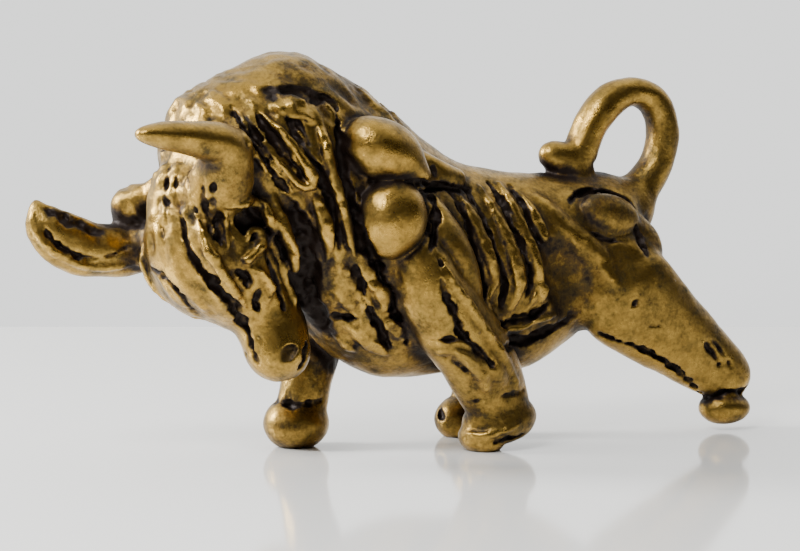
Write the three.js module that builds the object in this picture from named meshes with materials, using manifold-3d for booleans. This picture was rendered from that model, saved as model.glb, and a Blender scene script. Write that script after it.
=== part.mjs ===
import * as THREE from 'three';
import { mergeVertices } from 'three/addons/utils/BufferGeometryUtils.js';
import Module from 'manifold-3d';

// A small solid-cast brass bull, standing on three hooves with its head down and turned aside.
// Millimetres, +Z up. +X runs from the head to the tail, -Y is the side the head turns to.
// The whole animal is one casting, so every form below is joined into a single solid.

const V = (x, y, z) => new THREE.Vector3(x, y, z);
const wasm = await Module();
wasm.setup();

// Driving dimensions of the stance.
const HUMP_TOP = 24.7;
const SHOULDER_HALF_WIDTH = 5.0;
const FORE_TRACK = 3.3;
const HIND_TRACK = 2.6;
const TAIL_RADIUS = 0.95;
const HEAD_LENGTH = 11.2;
const SOLE_DEPTH = 3;

// Solids from three.js geometry, for joining and cutting.
function solid(geometry) {
  const bare = geometry.clone();
  bare.deleteAttribute('normal');
  bare.deleteAttribute('uv');
  const merged = mergeVertices(bare, 1e-4);
  return new wasm.Manifold(new wasm.Mesh({
    numProp: 3,
    vertProperties: new Float32Array(merged.attributes.position.array),
    triVerts: new Uint32Array(merged.index.array),
  }));
}

// A form drawn along a curve: a sphere whose rings are set out on the line of stations.
// Each station is a centre and two half-sizes, across (towards the hint) and through.
// The ends close as round caps, and each ring's frame is carried over from the ring before.
function drawn(stations, { sides = 12, rings = 10, hint = V(0, 1, 0), along = null, caps = null } = {}) {
  const line = new THREE.CatmullRomCurve3(stations.map((s) => V(s[0], s[1], s[2])), false, 'catmullrom', 0.5);
  const sizes = new THREE.CatmullRomCurve3(stations.map((s) => V(s[3], s[4], 0)), false, 'catmullrom', 0.5);
  const length = line.getLength();
  const [first, last] = [stations[0], stations[stations.length - 1]];
  const [startCap, endCap] = caps ?? [Math.min(first[3], first[4]), Math.min(last[3], last[4])];
  const rounding = (run, cap) => Math.sqrt(1 - (1 - Math.min(1, run / cap)) ** 2);
  const frames = [];
  let across = hint.clone();
  for (let ring = 0; ring <= rings; ring++) {
    const t = (1 - Math.cos((Math.PI * ring) / rings)) / 2;
    const tangent = along ?? line.getTangent(t);
    across = across.clone().addScaledVector(tangent, -across.dot(tangent)).normalize();
    const through = tangent.clone().cross(across);
    const size = sizes.getPoint(t).multiplyScalar(rounding(t * length, startCap) * rounding((1 - t) * length, endCap));
    frames.push({ centre: line.getPoint(t), across, through, size });
  }
  const geometry = new THREE.SphereGeometry(1, sides, rings);
  const place = geometry.attributes.position;
  for (let i = 0; i < place.count; i++) {
    const { centre, across: a, through: b, size } = frames[Math.floor(i / (sides + 1))];
    const angle = (2 * Math.PI * (i % (sides + 1))) / sides;
    const point = centre.clone().addScaledVector(a, -Math.cos(angle) * size.x).addScaledVector(b, Math.sin(angle) * size.y);
    place.setXYZ(i, point.x, point.y, point.z);
  }
  return solid(geometry);
}

// An egg: half-sizes along its own axes, then tilted in the side view and set in place.
function egg(x, y, z, half, tilt = 0, sides = 16, rings = 10) {
  const geometry = new THREE.SphereGeometry(1, sides, rings);
  geometry.rotateX(Math.PI / 2);
  geometry.scale(half[0], half[1], half[2]);
  geometry.rotateY(THREE.MathUtils.degToRad(tilt));
  geometry.translate(x, y, z);
  return solid(geometry);
}

// Trunk: centre height, half-height and half-width at stations from the neck to the rump.
const TRUNK = [
  [-15.5, 18.2, 2.3, 2.8],
  [-13.3, 18.7, 3.95, 4.1],
  [-10.8, 18.5, 5.3, 4.75],
  [-8.0, 17.6, HUMP_TOP - 17.6, SHOULDER_HALF_WIDTH],
  [-5.2, 15.4, 8.4, SHOULDER_HALF_WIDTH],
  [-2.4, 13.4, 8.6, 4.9],
  [0.4, 12.1, 7.7, 4.6],
  [3.2, 11.3, 6.7, 4.4],
  [6.0, 11.0, 6.4, 4.2],
  [8.8, 10.8, 6.2, 4.0],
  [11.6, 11.6, 5.2, 3.8],
  [14.0, 12.5, 4.0, 3.6],
  [15.8, 12.5, 3.7, 3.4],
  [17.6, 11.6, 2.6, 2.7],
];

function trunk() {
  const stations = TRUNK.map(([x, height, half, width]) => [x, 0, height, width, half]);
  return drawn(stations, { sides: 22, rings: 19, along: V(1, 0, 0), caps: [3.0, 2.2] });
}

// The trunk's side at a place in the side view: where a rib or a lock of mane lies on it.
function flank(x, z, side) {
  const last = TRUNK.length - 1;
  let i = 0;
  while (i < last - 1 && TRUNK[i + 1][0] < x) i++;
  const [x0, c0, h0, w0] = TRUNK[i];
  const [x1, c1, h1, w1] = TRUNK[i + 1];
  const t = THREE.MathUtils.clamp((x - x0) / (x1 - x0), 0, 1);
  const mix = THREE.MathUtils.lerp;
  const rise = THREE.MathUtils.clamp((z - mix(c0, c1, t)) / mix(h0, h1, t), -0.97, 0.97);
  return side * mix(w0, w1, t) * Math.sqrt(1 - rise * rise);
}

// Ridges that lie on the flank: half buried, with a width that swells in the middle.
function ridge(points, side, width, height, options = {}) {
  const stations = points.map(([x, z], i) => {
    const swell = Math.sin((Math.PI * (i + 0.8)) / (points.length + 0.6));
    return [x, flank(x, z, side), z, width * swell, height * swell];
  });
  return drawn(stations, { sides: 5, rings: 7, hint: V(1, 0, 0), ...options });
}

function ribs(side, count) {
  const made = [];
  for (let i = 0; i < count; i++) {
    const top = 2.6 + 1.45 * i;
    made.push(ridge([
      [top, 16.3 - 0.15 * i],
      [top + 0.9, 13.6],
      [top + 1.6 + 0.2 * i, 11.0],
      [top + 1.2 + 0.1 * i, 8.9 + 0.2 * i],
    ], side, 0.62, 0.55));
  }
  made.push(ridge([[4.9, 6.9], [6.4, 7.3], [8.2, 7.8], [9.6, 8.3]], side, 0.4, 0.5, { hint: V(0, 0, 1) }));
  return made;
}

const CHEST_TUFTS = [[-5.6, 10.6], [-3.7, 10.1], [-4.9, 8.1], [-2.9, 7.9]];

// Locks of mane run from the crest of the hump down and back over the neck.
function mane(side, count, tufts) {
  const made = [];
  for (let i = 0; i < count; i++) {
    const crest = -12.2 + 1.55 * i;
    made.push(ridge([
      [crest, 21.0 - 0.15 * i],
      [crest + 1.6, 19.4],
      [crest + 2.6, 17.4],
      [crest + 3.0, 15.0 - 0.5 * i],
    ], side, 0.62, 0.65));
  }
  for (const [x, z] of tufts) {
    made.push(egg(x, flank(x, z, side) * 0.94, z, [0.85, 0.8, 1.15], 14, 6, 5));
  }
  return made;
}

// Shoulder: two round muscles one over the other, a long one behind them, and a strap up the back.
function shoulder(side) {
  return [
    egg(-3.4, side * 4.5, 18.7, [2.9, 2.0, 1.95], 24, 12, 8),
    egg(-3.0, side * 5.0, 14.8, [2.05, 2.0, 2.45], 8, 12, 8),
    drawn([
      [-0.4, side * 4.0, 15.6, 0.9, 0.7],
      [0.7, side * 4.9, 13.4, 1.15, 1.0],
      [1.8, side * 4.9, 11.0, 1.1, 1.0],
      [2.6, side * 4.4, 8.6, 0.8, 0.8],
    ], { hint: V(1, 0, 0), sides: 8, rings: 8 }),
    drawn([
      [-0.6, side * 2.9, 18.0, 0.9, 0.8],
      [1.0, side * 3.0, 17.2, 0.9, 0.8],
      [2.4, side * 2.8, 16.8, 0.7, 0.6],
    ], { hint: V(0, 0, 1), sides: 8, rings: 6 }),
  ];
}

// Near foreleg: planted under the body, raked back, standing on the tip of its toe.
function nearForeleg() {
  const y = -FORE_TRACK;
  return [
    drawn([
      [-1.2, y - 1.4, 12.4, 1.7, 1.5],
      [-0.2, y - 1.5, 10.2, 2.2, 1.9],
      [1.3, y - 1.3, 8.1, 2.4, 1.9],
      [3.0, y - 0.9, 6.2, 2.55, 1.8],
      [4.4, y - 0.4, 4.2, 2.35, 1.6],
      [5.1, y - 0.2, 2.8, 2.0, 1.5],
    ], { hint: V(1, 0, 0), sides: 12, rings: 11 }),
    egg(5.1, y, 1.85, [2.2, 1.85, 1.6], -8, 12, 8),
    egg(4.0, y, 0.75, [1.45, 1.5, 1.05], 12, 10, 7),
  ];
}

// Far foreleg: reaching forward, straight down from the chest.
function farForeleg() {
  const y = FORE_TRACK;
  return [
    drawn([
      [-1.2, y + 0.9, 12.4, 1.7, 1.5],
      [-2.4, y + 0.9, 9.6, 2.0, 1.8],
      [-4.3, y + 0.4, 6.6, 1.8, 1.6],
      [-5.2, y, 4.4, 1.65, 1.5],
      [-5.6, y, 2.6, 1.55, 1.5],
    ], { hint: V(1, 0, 0), sides: 10, rings: 10 }),
    egg(-5.75, y, 1.35, [2.1, 1.9, 1.75], 0, 12, 8),
  ];
}

// Far hind leg: brought forward under the belly.
function farHindLeg() {
  const y = HIND_TRACK;
  return [
    drawn([
      [13.6, y + 0.4, 11.2, 2.9, 1.8],
      [12.0, y + 0.5, 8.8, 2.5, 1.8],
      [9.6, y + 0.3, 6.6, 1.7, 1.5],
      [7.4, y, 4.4, 1.4, 1.3],
      [5.9, y, 2.6, 1.3, 1.3],
    ], { hint: V(1, 0, 0), sides: 10, rings: 10 }),
    egg(5.7, y, 1.15, [1.7, 1.55, 1.5], 0, 12, 7),
  ];
}

// Near hind leg: stretched out behind, its hoof just clear of the ground.
function nearHindLeg() {
  const y = -HIND_TRACK;
  return [
    drawn([
      [13.4, y - 0.2, 12.8, 2.6, 1.6],
      [14.2, y - 0.5, 9.6, 3.6, 1.8],
      [16.9, y - 0.4, 7.6, 3.05, 1.7],
      [20.1, y - 0.1, 5.5, 2.2, 1.5],
      [22.4, y, 3.6, 1.85, 1.4],
      [23.2, y, 2.6, 1.6, 1.35],
    ], { hint: V(0.6, 0, 0.8), sides: 12, rings: 12 }),
    egg(22.5, y, 1.45, [1.75, 1.5, 1.1], 0, 12, 7),
  ];
}

// Hip: an oval muscle under the tail and the round of the rump behind it.
function hip(side) {
  return [
    egg(13.4, side * 3.0, 14.3, [2.2, 1.1, 1.35], 18, 10, 7),
    egg(16.0, side * 2.4, 12.2, [1.5, 1.3, 1.9], -20, 10, 7),
    ridge([[8.4, 15.2], [9.8, 14.1], [11.2, 12.6], [12.3, 10.8]], side, 0.7, 0.7),
  ];
}

// Tail: rises from the rump, curls forward and comes down on the back, closing a hanging loop.
// Its root runs on as a low crest along the loins, under the loop.
function tail() {
  const thick = TAIL_RADIUS;
  const route = [
    [16.4, 13.9, 1.3 * thick], [18.1, 15.9, 1.15 * thick], [19.0, 17.8, thick], [19.1, 19.9, thick],
    [18.2, 21.6, thick], [16.3, 22.3, 0.95 * thick], [14.2, 21.3, thick], [12.8, 19.5, 1.05 * thick],
    [12.0, 17.7, 1.05 * thick], [11.6, 16.2, 0.9 * thick],
  ];
  return [
    drawn(route.map(([x, z, r]) => [x, 0, z, r, r]), { sides: 9, rings: 22 }),
    drawn([[12.8, 0, 17.5, 0.9, 1.0], [11.2, 0, 17.6, 1.0, 1.15], [10.2, 0, 17.9, 0.75, 0.95]], { sides: 8, rings: 6 }),
    drawn([[11.6, 0, 15.6, 1.5, 1.0], [14.2, 0, 15.4, 1.6, 1.2], [16.8, 0, 14.2, 1.8, 1.4]], { sides: 8, rings: 6 }),
  ];
}

// Head: built upright in its own space, then set on the neck with the nose down and turned aside.
// In that space x runs to the bull's right, y out of the face, z from the nose to the poll.
const HEAD_AT = V(-14.6, -0.65, 14.9);
const NOSE_WAY = V(0.543, -0.184, -0.819).normalize();
const RIGHT_WAY = V(-0.198, 0.92, -0.338).projectOnPlane(NOSE_WAY).normalize();
const FACE_WAY = RIGHT_WAY.clone().cross(NOSE_WAY);

// The near horn rises before it points forward, the far one sweeps forward before it rises.
function nearHorn() {
  return drawn([
    [-2.6, -0.3, 0.2, 1.9, 1.9],
    [-4.6, -0.5, 1.0, 1.8, 1.7],
    [-5.9, -0.3, 2.8, 1.5, 1.3],
    [-6.2, 1.3, 4.3, 1.1, 0.95],
    [-6.25, 3.5, 5.95, 0.4, 0.35],
  ], { hint: V(0, 0, 1), sides: 10, rings: 11 });
}

function farHorn() {
  return drawn([
    [2.8, -0.3, -0.7, 1.5, 1.5],
    [4.8, 0.8, -0.1, 1.55, 1.5],
    [5.5, 2.6, 1.1, 1.65, 1.4],
    [5.6, 4.1, 2.7, 1.65, 1.1],
    [5.6, 4.7, 4.4, 1.3, 0.8],
    [5.5, 4.4, 6.1, 0.4, 0.35],
  ], { hint: V(0, 0, 1), sides: 10, rings: 12 });
}

// The near ear hangs beside the cheek. The far one is a stub with a round end, webbed to the horn.
function ears() {
  return [
    drawn([
      [-3.2, -1.4, -0.6, 0.9, 0.6],
      [-4.4, -1.1, -2.8, 1.0, 0.6],
      [-4.7, -0.7, -4.8, 0.75, 0.5],
      [-4.6, -0.7, -6.2, 0.4, 0.35],
    ], { hint: V(0, 1, 0), sides: 8, rings: 8 }),
    drawn([
      [1.6, -1.2, 2.2, 0.8, 0.8],
      [3.2, -0.8, 2.4, 0.75, 0.75],
      [4.9, -0.3, 2.7, 1.05, 1.05],
    ], { hint: V(0, 0, 1), sides: 8, rings: 6 }),
    drawn([[3.8, -0.5, 2.0, 0.6, 0.8], [4.3, 0.0, 1.2, 0.7, 0.8], [4.6, 0.6, 0.3, 0.7, 0.9]], { sides: 6, rings: 5 }),
  ];
}

// Brow, eye and cheek of one side: two hooked ridges with a bead between them.
function eye(side) {
  return [
    drawn([
      [side * 2.3, 2.9, -0.2, 0.5, 0.5],
      [side * 3.6, 1.4, -1.2, 0.6, 0.6],
      [side * 3.7, 0.0, -2.2, 0.5, 0.5],
    ], { sides: 5, rings: 6 }),
    egg(side * 3.3, 1.2, -2.9, [0.6, 0.6, 0.6], 0, 8, 5),
    drawn([
      [side * 3.6, -1.0, -2.2, 0.5, 0.5],
      [side * 3.2, -0.7, -4.4, 0.6, 0.6],
      [side * 2.3, -0.4, -6.4, 0.5, 0.5],
    ], { sides: 5, rings: 6 }),
  ];
}

// Nostrils and mouth, cut into the muzzle.
function muzzleCuts() {
  return [
    egg(-1.35, 1.35, -10.5, [0.45, 0.5, 0.4], 0, 8, 5),
    egg(1.35, 1.35, -10.5, [0.45, 0.5, 0.4], 0, 8, 5),
    drawn([[-2.3, -0.9, -9.6, 0.25, 0.7], [0, -0.6, -11.6, 0.25, 0.9], [2.3, -0.9, -9.6, 0.25, 0.7]], { sides: 6, rings: 8 }),
  ];
}

function head() {
  const forms = [
    drawn([
      [-0.6, -1.6, 3.2, 1.9, 1.9],
      [-0.4, -1.1, 1.0, 3.1, 2.9],
      [0, -0.3, -1.5, 3.9, 3.9],
      [0, -0.1, -3.5, 3.6, 3.6],
      [0, -0.3, -5.2, 2.9, 3.0],
      [0, -0.6, -6.8, 2.2, 2.4],
      [0, -0.4, -8.4, 2.0, 2.1],
      [0, 0.2, -9.8, 1.95, 2.0],
      [0, 0.45, -HEAD_LENGTH, 1.7, 1.7],
    ], { hint: V(1, 0, 0), sides: 16, rings: 14 }),
    nearHorn(),
    farHorn(),
    ...ears(),
    ...eye(-1),
    ...eye(1),
    drawn([[0, 3.3, 0.4, 1.0, 0.9], [0, 3.6, -3.0, 1.1, 0.7], [0, 1.9, -6.6, 0.8, 0.6]], { hint: V(1, 0, 0), sides: 8, rings: 7 }),
  ];
  const place = new THREE.Matrix4().makeBasis(RIGHT_WAY, FACE_WAY, NOSE_WAY.clone().negate()).setPosition(HEAD_AT);
  const set = (form) => form.transform(place.elements);
  return { forms: forms.map(set), cuts: muzzleCuts().map(set) };
}

// The soles are cut flat at the ground.
function ground() {
  const block = new THREE.BoxGeometry(60, 30, SOLE_DEPTH);
  block.translate(0, 0, -SOLE_DEPTH / 2);
  return solid(block);
}

function bull() {
  const face = head();
  const forms = [
    trunk(),
    ...ribs(-1, 4), ...ribs(1, 3),
    ...mane(-1, 4, CHEST_TUFTS), ...mane(1, 2, CHEST_TUFTS.slice(0, 1)),
    ...shoulder(-1), ...shoulder(1),
    ...nearForeleg(), ...farForeleg(), ...farHindLeg(), ...nearHindLeg(),
    ...hip(-1), ...hip(1),
    ...tail(),
    ...face.forms,
  ];
  let body = forms[0];
  for (const form of forms.slice(1)) body = body.add(form);
  for (const cut of [...face.cuts, ground()]) body = body.subtract(cut);
  const mesh = body.getMesh();
  const geometry = new THREE.BufferGeometry();
  geometry.setAttribute('position', new THREE.BufferAttribute(new Float32Array(mesh.vertProperties), 3));
  geometry.setIndex(new THREE.BufferAttribute(new Uint32Array(mesh.triVerts), 1));
  geometry.computeVertexNormals();
  return geometry;
}

const brass = new THREE.MeshStandardMaterial({ color: 0x9c7a36, roughness: 0.38, metalness: 1 });
const casting = new THREE.Mesh(bull(), brass);
casting.name = 'bull';

// The origin is under the middle of the bull's box, on the ground.
casting.geometry.computeBoundingBox();
const middle = casting.geometry.boundingBox.getCenter(new THREE.Vector3());
casting.position.set(-middle.x, -middle.y, 0);

const part = new THREE.Group();
part.add(casting);
export default part;
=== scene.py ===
# %% [markdown]
# # A small brass bull, cast in one
# The object is a solid brass bull about 48 mm long: head down and turned aside, one foreleg
# forward, one hind leg stretched out behind, and the tail curled into a loop for a ring.
# The CAD frame gives its size and its place. This lesson models it as a wax carver would:
# big forms first, then muscles, then ribs and mane laid on top, then the cuts, and last the
# skin of the casting with its polish and its dark patina.

# %% Load the frame
import math
import bpy
import numpy as np
from mathutils import Matrix, Vector


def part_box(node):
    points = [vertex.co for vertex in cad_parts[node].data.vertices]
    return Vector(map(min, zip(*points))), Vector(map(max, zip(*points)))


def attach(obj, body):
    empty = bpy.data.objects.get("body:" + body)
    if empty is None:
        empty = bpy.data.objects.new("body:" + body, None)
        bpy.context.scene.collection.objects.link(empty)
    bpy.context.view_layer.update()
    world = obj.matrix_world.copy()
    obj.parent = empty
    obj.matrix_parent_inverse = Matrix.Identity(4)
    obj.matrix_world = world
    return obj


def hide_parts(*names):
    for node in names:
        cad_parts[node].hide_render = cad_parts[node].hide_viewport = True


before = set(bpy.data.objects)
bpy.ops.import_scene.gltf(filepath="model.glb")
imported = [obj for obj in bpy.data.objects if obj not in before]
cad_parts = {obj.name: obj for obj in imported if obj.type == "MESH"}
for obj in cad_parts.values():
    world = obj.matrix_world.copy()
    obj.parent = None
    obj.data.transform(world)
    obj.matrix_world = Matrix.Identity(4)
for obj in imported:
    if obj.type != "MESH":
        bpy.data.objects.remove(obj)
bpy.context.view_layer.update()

cad_low, cad_high = (np.array(corner) * 1000 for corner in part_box("bull"))
print("CAD box in mm:", np.round(cad_high - cad_low, 2))

# %% [markdown]
# ## The wax: a block of distances
# Wax that is pressed together has soft joins, and a cut leaves a clean edge. A mesh can't do
# that easily, so the forms are built as distances on a fine grid: every grid point knows how
# far it is from the skin, negative inside. Two forms join with a rounded seam by a smooth
# minimum, and a cut is a smooth maximum. The mesh is taken from the grid at the end.

# %% The grid
CELL = 0.12
BAND = 2.4
FAR = 9.0
WAX_LOW = np.array([-24.4, -8.4, -0.52])
WAX_HIGH = np.array([25.6, 8.2, 25.8])
GRID = np.ceil((WAX_HIGH - WAX_LOW) / CELL).astype(int) + 1
AXES = [(WAX_LOW[i] + CELL * np.arange(GRID[i])).astype(np.float32) for i in range(3)]
wax = np.full(GRID, FAR, np.float32)
print("grid:", GRID, "cells of", CELL, "mm")

# %% Windows on the grid, joining and cutting
def window(low, high):
    """The slices of the grid between two corners, and the coordinates along each axis there."""
    first = np.clip(np.floor((low - WAX_LOW) / CELL).astype(int), 0, GRID - 1)
    last = np.clip(np.ceil((high - WAX_LOW) / CELL).astype(int) + 1, first + 1, GRID)
    cut = tuple(slice(a, b) for a, b in zip(first, last))
    x, y, z = (AXES[i][cut[i]] for i in range(3))
    return cut, (x[:, None, None], y[None, :, None], z[None, None, :])


def join(form, seam):
    """Presses a form onto the wax with a rounded seam, in millimetres."""
    cut, distance = form
    old = wax[cut]
    share = np.clip(0.5 + 0.5 * (old - distance) / seam, 0, 1)
    wax[cut] = old + (distance - old) * share - seam * share * (1 - share)


def carve(form, seam):
    """Cuts a form out of the wax."""
    cut, distance = form
    old = wax[cut]
    share = np.clip(0.5 - 0.5 * (old + distance) / seam, 0, 1)
    wax[cut] = old - (distance + old) * share + seam * share * (1 - share)


# %% [markdown]
# ## Rolls and eggs
# A leg, a horn or a lock of mane is a roll of wax drawn along a line, wider in one place and
# narrower in another. It is given by a few stations: a centre and two half-sizes. A muscle is
# an egg. Both return the distance to them, only in the window that they reach.

# %% Rolls and eggs
def smooth_line(points, count):
    """A smooth line through the points, as rows of any width."""
    rows = np.asarray(points, float)
    ends = np.vstack([2 * rows[0] - rows[1], rows, 2 * rows[-1] - rows[-2]])
    place = np.linspace(0, len(rows) - 1, count)
    i = np.minimum(place.astype(int), len(rows) - 2)
    t = (place - i)[:, None]
    a, b, c, d = ends[i], ends[i + 1], ends[i + 2], ends[i + 3]
    return 0.5 * (2 * b + (c - a) * t + (2 * a - 5 * b + 4 * c - d) * t**2 + (3 * b - a - 3 * c + d) * t**3)


def unit(vectors):
    return vectors / np.maximum(np.linalg.norm(vectors, axis=-1, keepdims=True), 1e-9)


def rolled(centres, sizes, across, band=BAND, cap=None, facing=None):
    """Distance to a roll: rings with a centre, two half-sizes, and the way that the first one points.

    The rings stand square to the line, or all face one way."""
    reach = sizes.max() + band
    cut, _ = window(centres.min(0) - reach, centres.max(0) + reach)
    whole = np.full([part.stop - part.start for part in cut], FAR, np.float32)
    for k in range(len(centres) - 1):
        start, run = centres[k], centres[k + 1] - centres[k]
        near = max(sizes[k].max(), sizes[k + 1].max()) + band
        part, (x, y, z) = window(np.minimum(start, start + run) - near, np.maximum(start, start + run) + near)
        along = unit(run) if facing is None else facing
        side = unit(across[k] + across[k + 1] - along * ((across[k] + across[k + 1]) @ along))
        other = np.cross(along, side)
        ahead = (x - start[0]) * along[0] + (y - start[1]) * along[1] + (z - start[2]) * along[2]
        t = np.clip(ahead / (run @ along), 0, 1)
        dx = x - start[0] - run[0] * t
        dy = y - start[1] - run[1] * t
        dz = z - start[2] - run[2] * t
        half_side = sizes[k, 0] + (sizes[k + 1, 0] - sizes[k, 0]) * t
        half_other = sizes[k, 1] + (sizes[k + 1, 1] - sizes[k, 1]) * t
        half_end = cap or np.minimum(half_side, half_other)
        u = (dx * side[0] + dy * side[1] + dz * side[2]) / half_side
        v = (dx * other[0] + dy * other[1] + dz * other[2]) / half_other
        w = (dx * along[0] + dy * along[1] + dz * along[2]) / half_end
        size = np.sqrt(u * u + v * v + w * w)
        slope = np.sqrt((u / half_side) ** 2 + (v / half_other) ** 2 + (w / half_end) ** 2) + 1e-6
        distance = size * (size - 1) / slope
        inner = tuple(slice(p.start - c.start, p.stop - c.start) for p, c in zip(part, cut))
        np.minimum(whole[inner], distance, out=whole[inner])
    return cut, whole


def roll(stations, hint=(0, 1, 0), count=18, cap=None, facing=None):
    """A roll drawn smoothly through stations of x, y, z, half-size towards the hint, half-size through."""
    rows = smooth_line(stations, count)
    centres, sizes = rows[:, :3], np.maximum(rows[:, 3:], 0.06)
    ways = unit(np.gradient(centres, axis=0)) if facing is None else np.tile(facing, (count, 1))
    across = np.tile(np.asarray(hint, float), (count, 1))
    for k in range(count):
        before = across[k - 1] if k else across[0]
        across[k] = unit(before - ways[k] * (before @ ways[k]))
    return rolled(centres, sizes, across, cap=cap, facing=facing)


def egg(centre, half, tilt=0.0, space=None):
    """An egg with three half-sizes, tilted in the side view, or turned as the space given."""
    turn = np.array(Matrix.Rotation(math.radians(tilt), 3, "Y"))
    if space is not None:
        turn = space @ turn
    reach = max(half) + BAND
    cut, (x, y, z) = window(np.asarray(centre) - reach, np.asarray(centre) + reach)
    size, slope = 0, 0
    for i in range(3):
        way = turn[:, i]
        u = ((x - centre[0]) * way[0] + (y - centre[1]) * way[1] + (z - centre[2]) * way[2]) / half[i]
        size = size + u * u
        slope = slope + (u / half[i]) ** 2
    size = np.sqrt(size)
    return cut, (size * (size - 1) / (np.sqrt(slope) + 1e-6)).astype(np.float32)


# %% [markdown]
# ## Warming the wax, and its roughness
# Rolls made of short pieces show faint rings. A modeller warms the surface and strokes it
# smooth, and a small blur of the distances does the same. Every edge cut by hand also wavers
# a little: a soft noise, blended from a lattice of random heights, is added to each stroke.

# %% Warming and roughness
TRUNK_ROUNDS = 22
WARM_ROUNDS = 5
SEED = 11


def warmed(block, rounds):
    """Smooths the distances a little in each round."""
    for _ in range(rounds):
        for axis in range(3):
            block = 0.5 * block + 0.25 * (np.roll(block, 1, axis) + np.roll(block, -1, axis))
    return block.astype(np.float32)


def lattice_noise(spacing, random):
    """Noise over the whole grid, from -1 to 1, blended between random heights."""
    steps = np.broadcast_to(spacing, 3)
    counts = [int((axis[-1] - axis[0]) / step) + 2 for axis, step in zip(AXES, steps)]
    heights = random.uniform(-1, 1, counts).astype(np.float32)
    for axis, step in zip(AXES, steps):
        place = (axis - axis[0]) / step
        i = place.astype(int)
        t = place - i
        t = t * t * (3 - 2 * t)
        blend = np.zeros((len(axis), heights.shape[0]), np.float32)
        blend[np.arange(len(axis)), i] = 1 - t
        blend[np.arange(len(axis)), i + 1] += t
        heights = np.tensordot(heights, blend, axes=(0, 1))
    return heights


random = np.random.default_rng(SEED)
ragged = lattice_noise(0.5, random) + 0.55 * lattice_noise(0.26, random)
lumpy = lattice_noise(1.5, random)
print("roughness:", round(float(ragged.std()), 2), "lumps:", round(float(lumpy.std()), 2))

# %% [markdown]
# ## The trunk
# A bull of this kind carries its weight in front: the hump stands twice as high as the loins.
# The trunk is one roll with an upright oval section, from the crest of the neck to the rump.
# Its stations are a place along the body, the height of the middle, half the height and half
# the width, which is how a modeller reads them off the side view and the top view.

# %% Trunk
HUMP_TOP = 24.8
HUMP_MIDDLE = 17.6
SHOULDER_HALF_WIDTH = 5.0
TRUNK = [
    (-12.9, 18.6, 4.2, 4.2),
    (-10.8, 18.5, 5.3, 4.75),
    (-8.0, HUMP_MIDDLE, HUMP_TOP - HUMP_MIDDLE, SHOULDER_HALF_WIDTH),
    (-5.2, 15.4, 8.4, SHOULDER_HALF_WIDTH),
    (-2.4, 13.4, 8.6, 4.9),
    (0.4, 12.1, 7.7, 4.6),
    (3.2, 11.3, 6.7, 4.4),
    (6.0, 11.0, 6.4, 4.2),
    (8.8, 10.8, 6.2, 4.0),
    (11.6, 11.6, 5.2, 3.8),
    (14.6, 12.6, 3.9, 3.5),
]
TRUNK_CAP = 2.7
BACKWARDS = np.array([1.0, 0.0, 0.0])
join(roll([(x, 0, z, width, half) for x, z, half, width in TRUNK], count=40, cap=TRUNK_CAP, facing=BACKWARDS), 0.1)
wax = warmed(wax, TRUNK_ROUNDS)
print("trunk:", TRUNK[0][0], "to", TRUNK[-1][0], "mm")

# %% [markdown]
# ## Legs
# Each leg is a roll from the muscle down to the fetlock, and the hoof is an egg below it.
# The crease between the two is the coronet. The bull stands on three hooves: the near hind
# one is stretched back and hangs just clear of the table.

# %% Legs
FORE_TRACK = 3.3
HIND_TRACK = 2.6
LEGS = {
    "near fore": [
        (-1.2, -4.7, 12.4, 1.7, 1.5),
        (-0.2, -4.8, 10.2, 2.2, 1.9),
        (1.3, -4.6, 8.1, 2.4, 1.9),
        (3.0, -4.2, 6.2, 2.45, 1.8),
        (4.4, -3.7, 4.2, 2.35, 1.6),
        (5.15, -3.5, 2.8, 2.1, 1.5),
    ],
    "far fore": [
        (-1.2, 4.2, 12.4, 1.7, 1.5),
        (-2.4, 4.2, 9.6, 2.0, 1.8),
        (-4.0, 3.7, 6.6, 1.8, 1.6),
        (-4.85, 3.3, 4.4, 1.65, 1.5),
        (-5.25, 3.3, 2.6, 1.6, 1.5),
    ],
    "far hind": [
        (13.2, 3.0, 11.2, 2.9, 1.8),
        (11.8, 3.1, 8.8, 2.5, 1.8),
        (9.6, 2.9, 6.6, 1.7, 1.5),
        (7.8, 2.6, 4.4, 1.3, 1.3),
        (6.4, 2.6, 2.6, 1.2, 1.25),
    ],
    "near hind": [
        (14.2, -2.8, 11.6, 2.4, 1.5),
        (14.4, -3.1, 9.5, 3.4, 1.8),
        (16.8, -3.0, 7.5, 3.05, 1.7),
        (20.0, -2.7, 5.3, 2.4, 1.5),
        (22.25, -2.6, 3.7, 1.95, 1.4),
        (22.7, -2.6, 3.2, 1.75, 1.35),
    ],
}
HOOVES = {
    "near fore": [((5.25, -3.3, 1.85), (2.45, 1.85, 1.6), -8), ((4.0, -3.3, 0.75), (1.45, 1.5, 1.05), 12)],
    "far fore": [((-5.65, 3.3, 1.45), (2.1, 1.9, 1.7), 0)],
    "far hind": [((5.7, 2.6, 1.15), (1.7, 1.55, 1.5), 0)],
    "near hind": [((22.5, -2.6, 1.45), (1.75, 1.5, 1.1), 0)],
}
for name, stations in LEGS.items():
    hint = (0.6, 0, 0.8) if name == "near hind" else (1, 0, 0)
    join(roll(stations, hint), 0.7)
print("legs:", ", ".join(LEGS))

# %% [markdown]
# ## Tail
# The tail rises from the rump, curls forward and comes down on the back, where its tuft is a
# small wedge. It closes a loop, so the charm can hang from a ring.

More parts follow.
